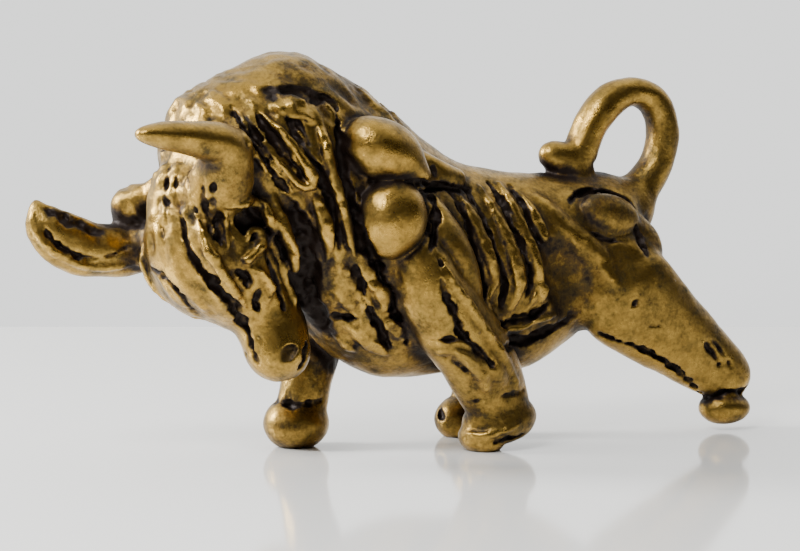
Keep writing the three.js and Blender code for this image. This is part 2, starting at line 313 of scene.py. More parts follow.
# %% Tail
TAIL = [
    (16.3, 13.6, 1.55), (17.3, 15.4, 1.35), (18.5, 17.0, 1.15), (19.05, 18.3, 1.08), (19.2, 19.6, 1.08),
    (18.9, 20.8, 1.05), (18.1, 21.7, 1.0), (16.7, 22.1, 0.95), (15.1, 21.5, 1.12), (13.9, 20.2, 1.15),
    (13.25, 18.9, 1.12), (12.7, 17.6, 1.1), (12.3, 16.5, 1.0),
]
TUFT = [(12.9, 0, 17.4, 0.9, 1.0), (11.6, 0, 17.75, 0.98, 1.15), (10.8, 0, 18.15, 0.78, 0.85)]
LOIN_CREST = [(11.8, 0, 15.6, 1.5, 1.0), (14.2, 0, 15.55, 1.6, 1.35), (16.6, 0, 14.6, 1.8, 1.7)]
join(roll([(x, 0, z, r, r) for x, z, r in TAIL], count=52), 0.35)
join(roll(TUFT, count=8), 0.2)
join(roll(LOIN_CREST, count=8), 0.5)
print("tail loop's top at", max(z + r for _, z, r in TAIL), "mm")

# %% [markdown]
# ## Head
# The head is modelled upright in its own space and then set on the neck, nose down and turned
# to the near side. In that space x runs to the bull's right, y out of the face and z from the
# nose to the poll.

# %% Head space
HEAD_AT = np.array([-14.6, -0.65, 14.9])
NOSE_WAY = unit(np.array([0.543, -0.184, -0.819]))
RIGHT_WAY = np.array([-0.198, 0.92, -0.338])
RIGHT_WAY = unit(RIGHT_WAY - NOSE_WAY * (RIGHT_WAY @ NOSE_WAY))
HEAD_SPACE = np.column_stack([RIGHT_WAY, np.cross(RIGHT_WAY, NOSE_WAY), -NOSE_WAY])


def head_roll(stations, hint, count=16, cap=None):
    """A roll given in head space."""
    rows = np.array(stations, float)
    rows[:, :3] = rows[:, :3] @ HEAD_SPACE.T + HEAD_AT
    return roll(rows, HEAD_SPACE @ np.asarray(hint, float), count, cap)


# %% Skull, horns and ears
SKULL = [
    (-0.8, -1.2, 1.5, 2.5, 2.5),
    (-0.1, -0.3, -1.3, 3.6, 3.6),
    (0, -0.1, -3.5, 3.55, 3.6),
    (0, -0.3, -5.2, 2.9, 2.8),
    (0, -0.6, -6.8, 2.2, 2.2),
    (0, -0.4, -8.4, 2.0, 2.1),
    (0, 0.25, -9.8, 1.95, 2.0),
]
BROW = [(3.15, 1.7, -1.0, 0.6, 0.6), (2.75, 2.15, -2.6, 0.65, 0.65), (2.2, 2.1, -4.3, 0.5, 0.5)]
NEAR_HORN = [
    (-2.6, -0.3, 0.2, 1.9, 1.9),
    (-4.6, -0.5, 1.0, 1.8, 1.7),
    (-5.9, -0.7, 2.5, 1.45, 1.3),
    (-6.2, 1.0, 4.0, 1.2, 1.05),
    (-6.2, 2.75, 5.3, 1.0, 0.8),
    (-6.2, 3.8, 6.0, 0.65, 0.5),
]
FAR_HORN = [
    (2.8, -0.3, -0.7, 1.5, 1.5),
    (4.8, 0.8, -0.1, 1.55, 1.5),
    (5.5, 2.6, 1.1, 1.65, 1.4),
    (5.6, 4.1, 2.75, 1.72, 1.1),
    (5.6, 4.7, 4.4, 1.35, 0.8),
    (5.5, 4.4, 5.8, 0.4, 0.35),
]
NEAR_EAR = [
    (-3.6, -2.0, -0.8, 0.7, 0.6),
    (-4.1, -2.2, -2.6, 0.65, 0.55),
    (-3.8, -2.3, -4.6, 0.55, 0.5),
    (-2.9, -2.3, -6.2, 0.4, 0.35),
]
FAR_EAR = [(1.6, -1.2, 2.0, 0.9, 0.9), (3.0, -0.8, 2.1, 0.95, 0.95), (4.3, -0.3, 2.15, 1.3, 1.3)]
EAR_WEB = [(4.3, -0.3, 1.9, 0.9, 0.9), (5.0, 0.4, 1.3, 0.8, 0.9), (5.1, 1.0, 0.6, 0.7, 0.9)]
join(head_roll(SKULL, (1, 0, 0), 24, cap=1.8), 0.5)
for side in (-1, 1):
    join(head_roll([(side * x, *rest) for x, *rest in BROW], (0, 1, 0)), 0.7)
join(head_roll(NEAR_HORN, (0, 0, 1)), 0.3)
join(head_roll(FAR_HORN, (0, 0, 1)), 0.4)
join(head_roll(NEAR_EAR, (0, 1, 0)), 0.25)
join(head_roll(FAR_EAR, (0, 0, 1), 10), 0.3)
join(head_roll(EAR_WEB, (0, 0, 1), 8), 0.4)
print("head set at", HEAD_AT, "mm")

# %% Warm the whole, then press on the hooves
wax = warmed(wax, WARM_ROUNDS)


def strands(spacing, lean):
    """Noise drawn out into upright strands, which lean back as they fall."""
    block = lattice_noise(spacing, random)
    for k, height in enumerate(AXES[2]):
        block[:, :, k] = np.roll(block[:, :, k], round(-lean * height / CELL), axis=0)
    return block


def fade(values, start, end):
    """Goes from 0 to 1 as the values go from start to end."""
    return np.clip((values - start) / (end - start), 0, 1)


HAIR_SPACING = (0.5, 0.55, 2.0)
HAIR_LEAN = 0.6
MANE_RELIEF = 0.2
FACE_RELIEF = 0.13
near_skin = np.argwhere(np.abs(wax) < 1.0)
place = WAX_LOW + CELL * near_skin
x, _, z = place.T
across_face, out_of_face, above_nose = ((place - HEAD_AT) @ HEAD_SPACE).T
mane_edge = np.interp(z, [10, 17], [-2.4, 0.6])
hairy = fade(mane_edge - x, 0, 2) * fade(z, 4.5, 6.5) * np.clip(fade(z, 23.8, 22.0), 0.35, 1)
hairy = hairy * (1 - fade(np.abs(across_face), 3.9, 4.5) * fade(out_of_face, -2.0, -1.4))
hairy = hairy * (1 - fade(above_nose, -5.0, -6.5) * fade(out_of_face, -2.6, -2.0))
relief = hairy * np.interp(out_of_face, [-2, 0], [MANE_RELIEF, FACE_RELIEF])
wax[tuple(near_skin.T)] += relief * strands(HAIR_SPACING, HAIR_LEAN)[tuple(near_skin.T)]
print("hair on", round(float((hairy > 0.5).mean()), 2), "of the skin")
for name, eggs in HOOVES.items():
    for centre, half, tilt in eggs:
        join(egg(centre, half, tilt), 0.25)

# %% [markdown]
# ## Shoulders and hips
# The maker put the muscles on as separate balls of wax: two round ones over each other on the
# shoulder, a long slab behind them, a strap up to the back and an oval on the hip. Their seams
# are tight, because the dark lines round them are what the eye sees first.

# %% Shoulders and hips
TIGHT = 0.22
for side in (-1, 1):
    join(egg((-3.5, side * 4.5, 18.8), (2.75, 2.0, 1.95), 24), TIGHT)
    join(egg((-2.2, side * 4.4, 18.1), (2.3, 1.75, 1.2), 42), 0.4)
    join(egg((-3.15, side * 5.0, 14.8), (2.25, 2.0, 2.45), 8), TIGHT)
    join(roll([
        (-0.4, side * 4.0, 15.6, 0.9, 0.7),
        (0.7, side * 4.9, 13.4, 1.15, 1.0),
        (1.8, side * 4.9, 11.0, 1.1, 1.0),
        (2.6, side * 4.4, 8.6, 0.8, 0.8),
    ], (1, 0, 0)), TIGHT)
    join(roll([
        (-0.6, side * 2.9, 18.0, 0.9, 0.8),
        (1.0, side * 3.0, 17.2, 0.9, 0.8),
        (2.4, side * 2.8, 16.8, 0.7, 0.6),
    ], (0, 0, 1)), 0.4)
    join(egg((13.4, side * 3.0, 14.3), (2.2, 0.95, 1.35), 18), TIGHT)
    join(egg((16.0, side * 2.4, 12.2), (1.5, 1.3, 1.9), -20), 0.5)
join(egg((2.9, -5.0, 5.9), (2.3, 1.15, 1.0), 42), 0.3)
join(egg((-0.3, -5.4, 10.6), (1.4, 1.4, 2.6), -14), 0.3)
join(egg((-4.4, 4.6, 5.6), (1.2, 0.9, 2.2), 14), 0.3)

# %% [markdown]
# ## Drawing on the wax from the photograph's side
# The carving is read off the photograph, so it is drawn from the same place: a pixel is a ray
# from the camera, and where the ray meets the wax is a point of the stroke. The bare wax is
# kept for this, so that a stroke doesn't climb over the one before it.

# %% The photograph's camera, and points on the wax
PHOTO_SIZE = np.array([800, 551])
AZIMUTH = math.radians(-27)
ELEVATION = math.radians(5.1)
CAMERA_DISTANCE = 170.0
LOOK_AT = np.array([0, 0, 10.8])
PIXEL_MM = 0.0623
BACK = np.array([
    math.sin(AZIMUTH) * math.cos(ELEVATION), -math.cos(AZIMUTH) * math.cos(ELEVATION), math.sin(ELEVATION),
])
RIGHT = np.array([math.cos(AZIMUTH), math.sin(AZIMUTH), 0])
UP = np.cross(BACK, RIGHT)
CAMERA_AT = LOOK_AT + BACK * CAMERA_DISTANCE
bare = wax.copy()


def feel(points, block=None):
    """The distance from the skin at points, read between the grid's corners."""
    block = bare if block is None else block
    place = np.clip((np.asarray(points) - WAX_LOW) / CELL, 0, GRID - 1.001)
    i = place.astype(int)
    t = place - i
    total = 0
    for corner in range(8):
        step = np.array([corner & 1, corner >> 1 & 1, corner >> 2 & 1])
        weight = np.prod(np.where(step, t, 1 - t), axis=-1)
        j = i + step
        total = total + weight * block[j[..., 0], j[..., 1], j[..., 2]]
    return total


def outward(points, block=None, step=0.2):
    """The way out of the wax at points."""
    slopes = [feel(points + step * np.eye(3)[i], block) - feel(points - step * np.eye(3)[i], block) for i in range(3)]
    return unit(np.stack(slopes, -1))


def first_touch(start, way, reach):
    """Where a ray first meets the wax, or where it comes closest."""
    run = np.arange(0, reach, 0.06)
    depth = feel(start + way * run[:, None])
    hit = np.argmax(depth < 0) if (depth < 0).any() else np.argmin(depth)
    return start + way * run[hit]


def seen(pixels):
    """Points of the wax under pixels of the photograph."""
    points = []
    for u, v in pixels:
        shift = (np.array([u, v]) - PHOTO_SIZE / 2) * PIXEL_MM / CAMERA_DISTANCE
        way = unit(RIGHT * shift[0] - UP * shift[1] - BACK)
        start = CAMERA_AT + way * (CAMERA_DISTANCE - 26)
        points.append(first_touch(start, way, 52))
    return np.array(points)


def far_side(points):
    """The same places on the far side of the trunk."""
    return np.array([first_touch(np.array([x, 8.0, z]), np.array([0, -1.0, 0]), 8.0) for x, _, z in points])


print("the camera sees the hump's top at", np.round(seen([(285, 62)])[0], 1))

# %% [markdown]
# ## Ridges that follow the body: Geometry Nodes
# Ribs and locks of mane are all the same thing: a soft roll of wax laid along a line on the
# flank, thick in the middle and thin at its ends. One small node tree makes it from a curve.
# It resamples the line, gives each place its thickness and sweeps a ring along it.

# %% A helper for nodes, and the tree that sweeps a ridge
def add(tree, kind, links=None, **settings):
    """Adds a node. Settings are its properties, and links gives each socket a value or another node's output."""
    node = tree.nodes.new(kind)
    for name, value in settings.items():
        setattr(node, name, value)
    for socket, value in (links or {}).items():
        if isinstance(value, bpy.types.NodeSocket):
            tree.links.new(value, node.inputs[socket])
        else:
            node.inputs[socket].default_value = value
    return node


def ridge_tree(finish):
    tree = bpy.data.node_groups.new("laid ridge", "GeometryNodeTree")
    tree.interface.new_socket("Geometry", in_out="INPUT", socket_type="NodeSocketGeometry")
    for name, kind in (("Rings", "NodeSocketInt"), ("Sides", "NodeSocketInt"), ("Half width", "NodeSocketFloat"),
                       ("End fullness", "NodeSocketFloat")):
        tree.interface.new_socket(name, in_out="INPUT", socket_type=kind)
    tree.interface.new_socket("Geometry", in_out="OUTPUT", socket_type="NodeSocketGeometry")
    given = add(tree, "NodeGroupInput").outputs
    line = add(tree, "GeometryNodeResampleCurve", {"Curve": given["Geometry"], "Count": given["Rings"]})
    place = add(tree, "GeometryNodeSplineParameter")
    angle = add(tree, "ShaderNodeMath", {0: place.outputs["Factor"], 1: math.pi}, operation="MULTIPLY")
    swell = add(tree, "ShaderNodeMath", {0: angle.outputs[0]}, operation="SINE")
    eased = add(tree, "ShaderNodeMath", {0: swell.outputs[0], 1: given["End fullness"]}, operation="POWER")
    kept = add(tree, "ShaderNodeMath", {0: eased.outputs[0], 1: 0.25}, operation="MAXIMUM")
    radius = add(tree, "ShaderNodeMath", {0: kept.outputs[0], 1: given["Half width"]}, operation="MULTIPLY")
    ring = add(tree, "GeometryNodeCurvePrimitiveCircle", {"Resolution": given["Sides"], "Radius": 1.0})
    swept = add(tree, "GeometryNodeCurveToMesh", {
        "Curve": line.outputs[0], "Profile Curve": ring.outputs[0], "Scale": radius.outputs[0],
    })
    real = add(tree, "GeometryNodeRealizeInstances", {0: swept.outputs[0]})
    done = add(tree, "GeometryNodeSetMaterial", {"Geometry": real.outputs[0], "Material": finish})
    add(tree, "NodeGroupOutput", {0: done.outputs[0]})
    return tree


# %% Laying ridges
RIDGE_RINGS = 22
RIDGE_SIDES = 8
wax_finish = bpy.data.materials.new("modelling wax")
laid_ridge = ridge_tree(wax_finish)


def laid_meshes(lines, half_width, fullness=0.5):
    """Sweeps ridges along lines and returns each one's ring centres and half widths."""
    guide = bpy.data.curves.new("ridge lines", "CURVE")
    guide.dimensions = "3D"
    for line in lines:
        spline = guide.splines.new("POLY")
        spline.points.add(len(line) - 1)
        for point, place in zip(spline.points, line):
            point.co = (*place, 1)
    carrier = bpy.data.objects.new("ridge lines", guide)
    bpy.context.scene.collection.objects.link(carrier)
    modifier = carrier.modifiers.new("laid ridge", "NODES")
    modifier.node_group = laid_ridge
    values = {"Rings": RIDGE_RINGS, "Sides": RIDGE_SIDES, "Half width": half_width, "End fullness": fullness}
    for item in laid_ridge.interface.items_tree:
        if item.in_out == "INPUT" and item.name in values:
            modifier[item.identifier] = values[item.name]
    graph = bpy.context.evaluated_depsgraph_get()
    swept = bpy.data.meshes.new_from_object(carrier.evaluated_get(graph))
    corners = np.zeros(len(swept.vertices) * 3)
    swept.vertices.foreach_get("co", corners)
    rings = corners.reshape(len(lines), RIDGE_RINGS, RIDGE_SIDES, 3)
    centres = rings.mean(axis=2)
    halves = np.linalg.norm(rings - centres[:, :, None], axis=-1).mean(axis=2)
    bpy.data.objects.remove(carrier)
    bpy.data.meshes.remove(swept)
    return centres, halves


def settle(line):
    """Brings a line down onto the bare wax."""
    for _ in range(3):
        line = line - outward(line) * feel(line)[:, None]
    return line


RAGGED_EDGE = 0.12
WAVER = 0.25
STROKE_BAND = 1.2


def laid(line, half_width, height, seam=0.08, fullness=0.45, cut=False):
    """Lays one ridge on the wax along a line, or cuts it as a groove."""
    centres, halves = laid_meshes([settle(smooth_line(line, RIDGE_RINGS))], half_width, fullness)
    waver = np.interp(np.linspace(0, 6, RIDGE_RINGS), np.arange(7), random.uniform(1 - WAVER, 1 + WAVER, 7))
    centre, half = centres[0], halves[0] * waver
    along = unit(np.gradient(centre, axis=0))
    across = unit(np.cross(outward(centre), along))
    sizes = np.stack([half, half * height / half_width], 1)
    space, distance = rolled(centre, sizes, across, STROKE_BAND)
    form = space, distance + RAGGED_EDGE * ragged[space]
    if cut:
        carve(form, seam)
    else:
        join(form, seam)


def strokes(table, other=None, cut=False, seam=0.08):
    """Lays or cuts every stroke of a table: half width, height, pixels. The other side may get them too."""
    for half_width, height, pixels in table:
        line = seen(pixels)
        laid(line, half_width, height, seam, cut=cut)
        if other is not None:
            laid(other(line), half_width, height, seam, cut=cut)


# %% [markdown]
# ## Ribs
# Lean ribs show on the flank. The first run down from the back and curl forward at their lower
# end, the short ones lie low along the belly. The channels between are cut first, and the ribs
# are laid at the old height of the flank, so both are crisp. The far side has the same ribs.

# %% Ribs
RIB_CHANNELS = [
    (0.22, 0.5, [(452, 193), (463, 213), (471, 240), (480, 272), (485, 300)]),
    (0.22, 0.5, [(467, 190), (481, 215), (492, 245), (503, 275), (504, 295), (496, 314)]),
    (0.22, 0.5, [(489, 183), (503, 205), (514, 230), (526, 258), (530, 280), (522, 305)]),
    (0.22, 0.45, [(510, 185), (522, 205), (533, 228), (543, 250)]),
    (0.45, 0.5, [(503, 348), (520, 342), (540, 334), (562, 323), (580, 312)]),
    (0.24, 0.4, [(500, 326), (518, 320), (540, 311), (552, 298)]),
]
RIBS = [
    (0.46, 0.32, [(460, 195), (475, 222), (486, 250), (494, 280), (491, 313)]),
    (0.46, 0.32, [(478, 186), (493, 208), (504, 232), (515, 262), (518, 290), (502, 321)]),
    (0.46, 0.32, [(500, 184), (513, 207), (524, 230), (536, 258), (541, 285), (526, 311)]),
    (0.38, 0.3, [(520, 192), (533, 213), (543, 234), (550, 252)]),
    (0.32, 0.3, [(550, 268), (546, 285), (538, 303)]),
    (0.24, 0.28, [(500, 334), (515, 328), (538, 320), (560, 313)]),
]
strokes(RIB_CHANNELS, far_side, cut=True)
strokes(RIBS, far_side)
FLANK_HOLLOW = ((1.5, 0.7, 2.7), -24)
flank_near = seen([(566, 280)])[0]
for place in (flank_near, far_side([flank_near])[0]):
    carve(egg(place, *FLANK_HOLLOW), 0.6)
print("ribs:", 2 * len(RIBS))

# %% [markdown]
# ## Mane
# The mane is a few heavy locks that fall from the crest behind the horn and over the neck, one of them doubled back on
# itself. Deep grooves part them, and those hold the darkest patina. The widest, between the jaw and the neck, is also
# darkened with painted shade among the dark spots further on.

# %% Mane
MANE_CUTS = [
    (0.34, 0.45, [(256, 112), (266, 126), (281, 146), (294, 163), (306, 177)]),
    (0.5, 0.3, [(258, 88), (275, 90), (295, 93), (318, 98), (338, 103)]),
    (0.3, 0.5, [(272, 96), (283, 112), (297, 135), (308, 155), (318, 173), (328, 195), (335, 218), (340, 248)]),
    (0.24, 0.4, [(232, 108), (240, 126), (251, 144), (264, 162), (278, 180), (294, 196)]),
    (0.16, 0.25, [(242, 112), (252, 130), (264, 148), (276, 163)]),
    (0.16, 0.25, [(296, 120), (304, 134), (312, 150)]),
    (0.7, 0.6, [(290, 200), (299, 222), (305, 250), (310, 280), (316, 310), (326, 326)]),
    (0.36, 0.7, [(337, 108), (338, 124), (342, 151), (347, 176), (351, 203), (361, 230), (373, 256), (385, 286),
                 (397, 320), (408, 345)]),
    (0.24, 0.45, [(362, 298), (372, 315), (382, 332), (391, 348)]),
    (0.2, 0.35, [(330, 316), (345, 317), (358, 320)]),
    (0.2, 0.4, [(354, 264), (361, 280), (366, 296)]),
]
LOCKS = [
    (0.3, 0.34, [(259, 110), (272, 124), (284, 136), (300, 156), (313, 177), (313, 185), (304, 187), (293, 179),
                 (282, 166), (272, 154), (262, 143)]),
    (0.42, 0.4, [(312, 110), (321, 132), (328, 158), (334, 180), (342, 203), (348, 228), (354, 256)]),
    (0.46, 0.32, [(312, 192), (319, 205), (325, 222), (328, 242), (327, 262)]),
    (0.3, 0.25, [(234, 118), (245, 138), (258, 158), (271, 176)]),
    (0.85, 0.34, [(274, 106), (290, 107), (306, 112), (320, 122)]),
]
strokes(MANE_CUTS[:6], far_side, cut=True)
strokes(MANE_CUTS[6:7], cut=True, seam=0.3)
strokes(MANE_CUTS[7:], far_side, cut=True)
strokes(LOCKS[:1])
strokes(LOCKS[1:], far_side)
CHEST_PATCHES = [
    (0.85, 0.3, [(333, 262), (340, 278), (345, 296), (352, 310)]),
    (0.5, 0.32, [(368, 284), (380, 290), (386, 302), (382, 312)]),
    (0.6, 0.3, [(343, 322), (357, 333), (372, 345), (388, 354)]),
    (0.5, 0.3, [(384, 320), (396, 329), (405, 340)]),
    (0.4, 0.25, [(330, 330), (342, 340), (356, 352)]),
]
strokes(CHEST_PATCHES, far_side)
print("mane:", len(LOCKS), "locks and", len(MANE_CUTS), "cuts")

# %% [markdown]
# ## Round the shoulder
# Dark cuts set off the long muscle behind the shoulder balls, and the strap along the back.

# %% Shoulder cuts
SHOULDER_CUTS = [
    (0.28, 0.45, [(404, 181), (420, 184), (440, 186), (456, 188), (470, 189)]),
    (0.14, 0.25, [(430, 158), (433, 170), (434, 181)]),
    (0.24, 0.4, [(431, 192), (435, 212), (434, 235), (428, 252)]),
    (0.18, 0.3, [(437, 256), (446, 270), (458, 285), (470, 303)]),
]
strokes(SHOULDER_CUTS, far_side, cut=True)

# %% [markdown]
# ## Cuts on the hips and the legs
# Thinner cuts mark the muscles of the legs, the folds of the knee and the rims of the hooves.

# %% Hip and leg cuts
HIP_CUTS = [
    (0.22, 0.35, [(570, 214), (571, 200), (585, 192), (606, 192), (626, 200), (638, 214)]),
    (0.14, 0.22, [(576, 222), (592, 234), (610, 241), (632, 243)]),
    (0.22, 0.3, [(636, 226), (641, 240), (648, 256)]),
]
LEG_CUTS = [
    (0.27, 0.42, [(441, 279), (446, 293), (452, 308), (460, 328), (470, 342), (484, 356), (497, 369)]),
    (0.11, 0.2, [(427, 339), (440, 340), (452, 340), (464, 341)]),
    (0.1, 0.18, [(446, 358), (460, 366), (475, 377), (488, 388)]),
    (0.12, 0.15, [(468, 402), (481, 400), (494, 396)]),
    (0.1, 0.1, [(500, 397), (514, 393), (527, 388)]),
    (0.18, 0.3, [(494, 442), (508, 439), (522, 435)]),
    (0.17, 0.4, [(598, 333), (620, 341), (648, 352), (672, 366), (690, 382), (700, 394)]),
    (0.13, 0.2, [(700, 338), (710, 350), (720, 364)]),
    (0.1, 0.15, [(712, 340), (722, 352), (731, 367)]),
    (0.11, 0.15, [(630, 308), (635, 304), (640, 301)]),
    (0.08, 0.1, [(650, 327), (656, 326), (661, 326)]),
    (0.15, 0.35, [(701, 396), (725, 392), (749, 387)]),
    (0.16, 0.2, [(274, 402), (295, 406), (322, 400)]),
    (0.16, 0.2, [(443, 402), (440, 415), (450, 428)]),
]
LEG_RIDGES = [
    (0.3, 0.24, [(444, 266), (460, 292), (478, 318), (493, 340), (507, 362), (518, 384)]),
    (0.36, 0.32, [(440, 351), (455, 351), (470, 362), (483, 378), (488, 392)]),
    (0.22, 0.24, [(467, 434), (485, 436), (502, 431), (518, 425)]),
]
strokes(HIP_CUTS, far_side, cut=True)
strokes(LEG_CUTS, cut=True)
strokes(LEG_RIDGES, seam=0.25)
HIP_CREST = [(0.55, 0.32, [(537, 197), (560, 222), (585, 242), (602, 262), (615, 285)])]
strokes(HIP_CREST, far_side, seam=0.5)

# %% [markdown]
# ## Face
# The face is cut with a few strokes: a groove on each side of the nose's bridge, a dark socket
# with a hooked ridge for the eye, a second curl below it and the ridge of the cheek. Nostril
# and mouth are holes. The right side of the face has the same, mirrored.

# %% Face
def other_cheek(points):
    """The same places on the right side of the face."""
    local = (points - HEAD_AT) @ HEAD_SPACE * np.array([-1, 1, 1])
    return settle(local @ HEAD_SPACE.T + HEAD_AT)


NOSE_CUTS = [
    (0.3, 0.5, [(181, 212), (184, 229), (190, 250), (200, 266), (216, 287), (233, 306), (244, 326), (250, 339),
                (254, 353), (259, 364)]),
    (0.27, 0.45, [(149, 264), (162, 275), (174, 288), (186, 302), (193, 309)]),
]
FACE_CUTS = [
    (0.13, 0.3, [(219, 214), (218, 232), (221, 250)]),
    (0.27, 0.5, [(267, 260), (274, 276), (279, 293), (285, 311)]),
    (0.27, 0.4, [(237, 272), (244, 278), (254, 284)]),
    (0.15, 0.35, [(259, 290), (256, 301), (259, 313)]),
    (0.2, 0.4, [(308, 338), (305, 354), (298, 370)]),
    (0.1, 0.15, [(256, 334), (262, 341), (258, 350), (265, 357)]),
]
PITS = [
    ((243, 222), (0.62, 0.6, 1.25)),
    ((288, 354), (0.34, 0.8, 0.42)),
]
FACE_RIDGES = [
    (0.34, 0.42, [(235, 260), (246, 259), (256, 251), (260, 240), (256, 231), (249, 231), (248, 240)]),
    (0.2, 0.28, [(226, 212), (226, 230), (228, 249)]),
    (0.3, 0.3, [(226, 207), (243, 203), (262, 204), (271, 222), (273, 244)]),
    (0.26, 0.34, [(252, 268), (263, 275), (270, 288), (268, 302)]),
    (0.24, 0.42, [(268, 236), (275, 256), (282, 274), (289, 292), (296, 308)]),
    (0.3, 0.25, [(196, 214), (204, 240), (216, 262), (232, 286), (246, 306)]),
]
HAIR_CUTS = [
    (0.11, 0.16, [(170, 166), (167, 184), (166, 204), (169, 226)]),
    (0.11, 0.16, [(180, 168), (176, 186), (175, 200)]),
    (0.12, 0.18, [(192, 170), (190, 186), (193, 204), (198, 222)]),
    (0.12, 0.18, [(203, 176), (203, 196), (208, 216), (213, 240)]),
    (0.11, 0.16, [(160, 196), (159, 214), (162, 234), (168, 252)]),
    (0.12, 0.18, [(214, 182), (212, 198), (215, 212)]),
]
FAR_HORN_RIM = [(0.28, 0.26, [(37, 204), (32, 217), (36, 232), (49, 248), (69, 260), (92, 267), (116, 267), (134, 263)])]
FAR_HORN_LINE = [(0.12, 0.25, [(42, 222), (47, 234), (58, 246), (75, 255), (97, 258), (118, 252), (132, 246)])]
FAR_HORN_HOLLOW = [(0.4, 0.35, [(46, 208), (58, 215), (72, 222), (88, 229), (104, 233)])]
strokes(NOSE_CUTS, cut=True)
strokes(FAR_HORN_RIM, seam=0.2)
strokes(FAR_HORN_LINE + FAR_HORN_HOLLOW, cut=True)
strokes(FACE_CUTS, other_cheek, cut=True)
strokes(HAIR_CUTS, cut=True)
for pixel, half in PITS:
    near = seen([pixel])[0]
    for place in (near, other_cheek(near[None])[0]):
        carve(egg(place, half, 0.0, HEAD_SPACE), 0.15)
strokes(FACE_RIDGES, other_cheek)
print("face:", len(NOSE_CUTS) + len(FACE_CUTS), "cuts,", len(FACE_RIDGES), "ridges")

# %% [markdown]
# ## The skin
# The mesh is taken from the grid by surface nets: one point in every cell that the skin passes
# through, at the middle of its crossings, and one four-sided face round every grid edge that
# the skin crosses. The points are then eased along the skin and pulled back onto it.

# %% Surface nets
wax_floor = AXES[2][None, None, :]
np.maximum(wax, -wax_floor, out=wax)


def skin_of(block):
    inside = block < 0
    count = np.zeros([n - 1 for n in block.shape], np.int8)
    for corner in range(8):
        dx, dy, dz = corner & 1, corner >> 1 & 1, corner >> 2 & 1
        count += inside[dx:dx + count.shape[0], dy:dy + count.shape[1], dz:dz + count.shape[2]]
    cells = np.argwhere((count > 0) & (count < 8))
    number = np.full(count.shape, -1, np.int64)
    number[tuple(cells.T)] = np.arange(len(cells))
    total = np.zeros((len(cells), 3))
    crossings = np.zeros(len(cells))
    for axis in range(3):
        others = [i for i in range(3) if i != axis]
        for a in (0, 1):
            for b in (0, 1):
                start = np.zeros(3, int)
                start[others[0]], start[others[1]] = a, b
                end = start.copy()
                end[axis] = 1
                first = block[tuple((cells + start).T)]
                second = block[tuple((cells + end).T)]
                crossed = (first < 0) != (second < 0)
                share = np.where(crossed, first / np.where(crossed, first - second, 1), 0)
                point = start + np.outer(share, end - start)
                total += point * crossed[:, None]
                crossings += crossed
    points = WAX_LOW + CELL * (cells + total / crossings[:, None])
    faces = []
    for axis in range(3):
        others = [(axis + 1) % 3, (axis + 2) % 3]
        here = [slice(1, -1)] * 3
        here[axis] = slice(0, -1)
        there = list(here)
        there[axis] = slice(1, None)
        change = inside[tuple(here)] != inside[tuple(there)]
        edges = np.argwhere(change)
        edges[:, others[0]] += 1
        edges[:, others[1]] += 1
        corners = []
        for a, b in ((0, 0), (1, 0), (1, 1), (0, 1)):
            cell = edges.copy()
            cell[:, others[0]] -= a
            cell[:, others[1]] -= b
            corners.append(number[tuple(cell.T)])
        quads = np.stack(corners, 1)
        leaving = inside[tuple(edges.T)]
        quads[~leaving] = quads[~leaving][:, ::-1]
        faces.append(quads)
    return points, np.vstack(faces)


points, quads = skin_of(wax)
print("skin:", len(points), "points,", len(quads), "faces")

# %% Ease the points along the skin
def eased(points, quads, rounds, block):
    pairs = np.vstack([quads[:, [i, (i + 1) % 4]] for i in range(4)])
    degree = np.bincount(pairs[:, 0], minlength=len(points))
    for _ in range(rounds):
        total = np.stack([np.bincount(pairs[:, 0], points[pairs[:, 1], i], len(points)) for i in range(3)], 1)
        points = points + 0.5 * (total / degree[:, None] - points)
        points = points - outward(points, block, CELL) * feel(points, block)[:, None]
    return points


points = eased(points, quads, 3, wax)

# %% Thin the mesh where the skin is plain
MOST_TRIANGLES = 192000
raw = bpy.data.meshes.new("raw skin")
raw.vertices.add(len(points))
raw.vertices.foreach_set("co", points.ravel())
raw.loops.add(quads.size)
raw.loops.foreach_set("vertex_index", quads.ravel())
raw.polygons.add(len(quads))
raw.polygons.foreach_set("loop_start", np.arange(len(quads)) * 4)
raw.update(calc_edges=True)
raw_skin = bpy.data.objects.new("raw skin", raw)
bpy.context.scene.collection.objects.link(raw_skin)
thinner = raw_skin.modifiers.new("thin", "DECIMATE")
thinner.ratio = min(1.0, MOST_TRIANGLES / (2 * len(quads)))
body = bpy.data.meshes.new_from_object(raw_skin.evaluated_get(bpy.context.evaluated_depsgraph_get()))
bpy.data.objects.remove(raw_skin)
bpy.data.meshes.remove(raw)
body.name = "bull casting"
points = np.zeros(len(body.vertices) * 3)
body.vertices.foreach_get("co", points)
points = points.reshape(-1, 3)
print("thinned to", len(body.polygons), "triangles")

# %% [markdown]
# ## How deep each place lies
# Patina stays where a finger and a buffing wheel don't reach. The grid tells that at once: step
# straight out of the skin and see how near the wax still is. On a high place the distance grows
# as fast as the step; in a groove the far wall keeps it small.

# %% Hollow and crest
normals = outward(points, wax, CELL)


def hollow_at(step):
    return np.clip(1 - feel(points + normals * step, wax) / step, 0, 1)


def crest_at(step):
    return np.clip(1 + feel(points - normals * step, wax) / step, 0, 1)


hollow = 0.34 * hollow_at(0.3) + 0.33 * hollow_at(0.7) + 0.33 * hollow_at(1.5)
crest = (crest_at(0.4) + crest_at(0.9)) / 2
print("hollow:", np.round(np.percentile(hollow, [5, 50, 95]), 2), "crest:", np.round(np.percentile(crest, [5, 50, 95]), 2))

# %% Roughen the skin
SKIN_LUMPS = 0.07
SKIN_ROUGH = 0.018
PITTED = 0.1
fleck = feel(points, ragged)
lift = SKIN_LUMPS * feel(points, lumpy) + (SKIN_ROUGH + PITTED * np.clip(hollow * 2, 0, 1)) * fleck
lift = lift * np.clip(points[:, 2] / 0.6, 0, 1)
points = points + normals * lift[:, None]
